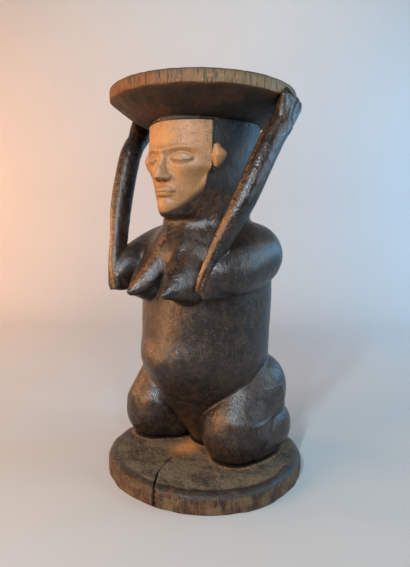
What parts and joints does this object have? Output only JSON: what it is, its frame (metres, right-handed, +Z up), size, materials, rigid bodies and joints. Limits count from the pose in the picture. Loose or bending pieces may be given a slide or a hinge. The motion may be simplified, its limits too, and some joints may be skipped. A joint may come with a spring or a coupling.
{
  "type": "caryatid stool",
  "caption": "Carved wooden stool: a kneeling figure on a round base carries a round seat on its head and raised hands.",
  "frame": {"origin": "centre of the base's underside, on the floor", "axes": "+Z up to the seat; the figure faces -Y, its left side is +X"},
  "size_m": [0.268, 0.268, 0.5009],
  "materials": {
    "base_wood": "dusty worn grey-brown hardwood, matte",
    "rim_wood": "bare worn hardwood, satin from handling",
    "body_wood": "dark brown patina polished by handling, worn paler on the ridges",
    "dark_wood": "blackened hardwood with a satin patina",
    "hair_wood": "blackened wood with a cool satin sheen",
    "face_wood": "pale bare wood, rubbed smooth, matte"
  },
  "bodies": {
    "root": {"base": "base_wood", "seat": "rim_wood", "seat_underside": "dark_wood", "torso": "body_wood", "neck": "dark_wood", "head": "hair_wood", "face": "face_wood", "left_ear": "face_wood", "right_ear": "face_wood", "left_breast": "body_wood", "right_breast": "body_wood", "left_upper_arm": "dark_wood", "right_upper_arm": "dark_wood", "left_forearm": "dark_wood", "right_forearm": "dark_wood", "left_hand": "dark_wood", "right_hand": "dark_wood", "left_thigh": "body_wood", "right_thigh": "body_wood", "left_lower_leg": "body_wood", "right_lower_leg": "body_wood", "left_foot": "body_wood", "right_foot": "body_wood"}
  },
  "joints": []
}
